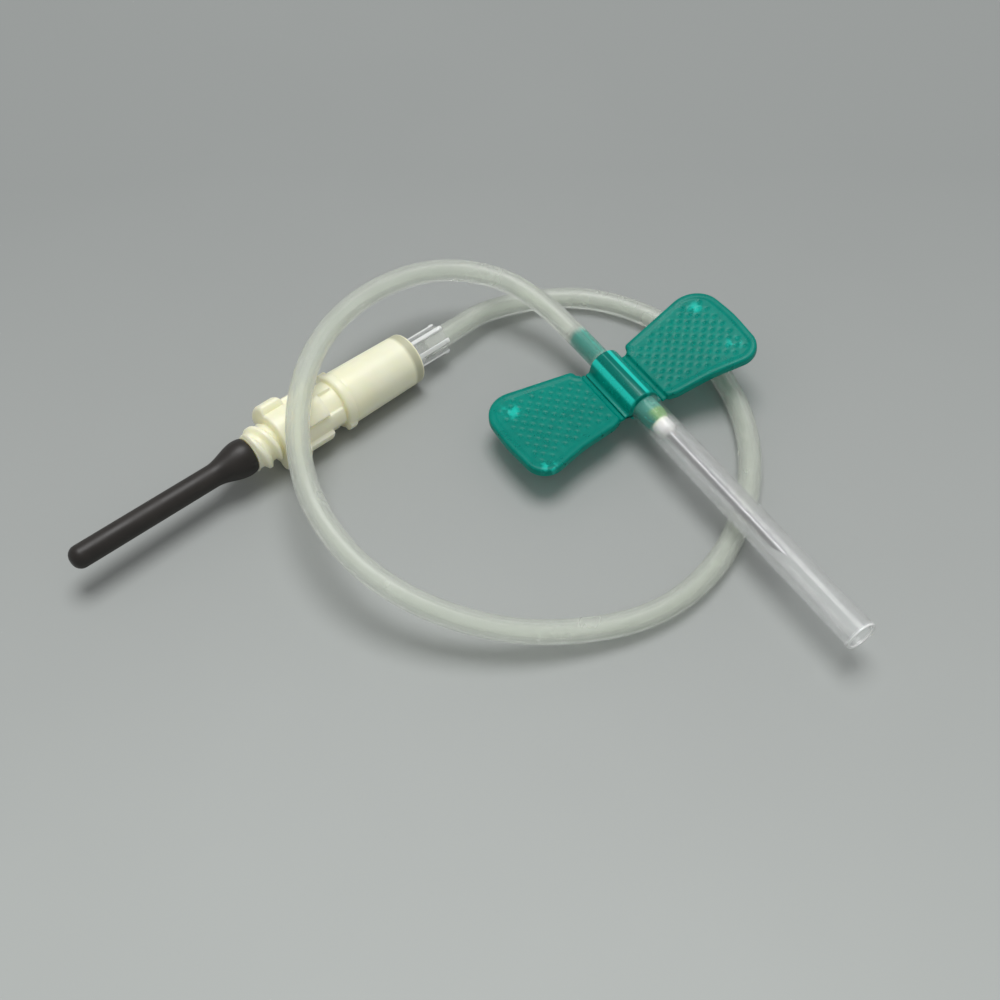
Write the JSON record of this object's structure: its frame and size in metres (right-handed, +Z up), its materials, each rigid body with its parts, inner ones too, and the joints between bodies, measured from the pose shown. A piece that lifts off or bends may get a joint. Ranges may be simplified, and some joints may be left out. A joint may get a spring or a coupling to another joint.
{
  "type": "winged blood collection set",
  "caption": "Winged butterfly needle under a clear sheath, with soft clear tubing to a threaded luer adapter whose rear needle is under a black rubber sleeve.",
  "frame": {"origin": "on the surface it lies on, below the middle of the box round everything except the tubing", "axes": "+X along the front needle, towards its tip; +Z up, away from the surface"},
  "size_m": [0.0602, 0.072, 0.0122],
  "materials": {
    "wing_plastic": "glossy translucent",
    "clear_plastic": "glossy clear",
    "soft_tube": "frosted clear, flexible",
    "ivory_plastic": "satin, slightly translucent",
    "steel": "polished",
    "glue": "glossy",
    "black_rubber": "satin"
  },
  "bodies": {
    "hub": {"wing_hub": "wing_plastic", "needle_bead": "glue", "front_needle": "steel", "tubing": "soft_tube", "tube_connector": "clear_plastic"},
    "left_wing_body": {"left_wing": "wing_plastic"},
    "right_wing_body": {"right_wing": "wing_plastic"},
    "sheath_body": {"needle_sheath": "clear_plastic"},
    "adapter_body": {"luer_adapter": "ivory_plastic", "rear_needle": "steel", "rubber_sleeve": "black_rubber"}
  },
  "joints": [
    {"name": "left_wing_fold", "type": "hinge", "parent": "hub", "child": "left_wing_body", "pos_m": [-0.0086, 0.02411, 0.00365], "axis": [1, 0, 0], "range_deg": [0, 70]},
    {"name": "right_wing_fold", "type": "hinge", "parent": "hub", "child": "right_wing_body", "pos_m": [-0.0086, 0.01891, 0.00365], "axis": [-1, 0, 0], "range_deg": [0, 85]},
    {"name": "sheath_pull", "type": "slide", "parent": "hub", "child": "sheath_body", "axis": [1, 0, 0], "range_m": [0, 0.034]},
    {"name": "adapter_pull", "type": "slide", "parent": "hub", "child": "adapter_body", "axis": [0.1782, -0.9834, 0.0337], "range_m": [0, 0.012]}
  ]
}
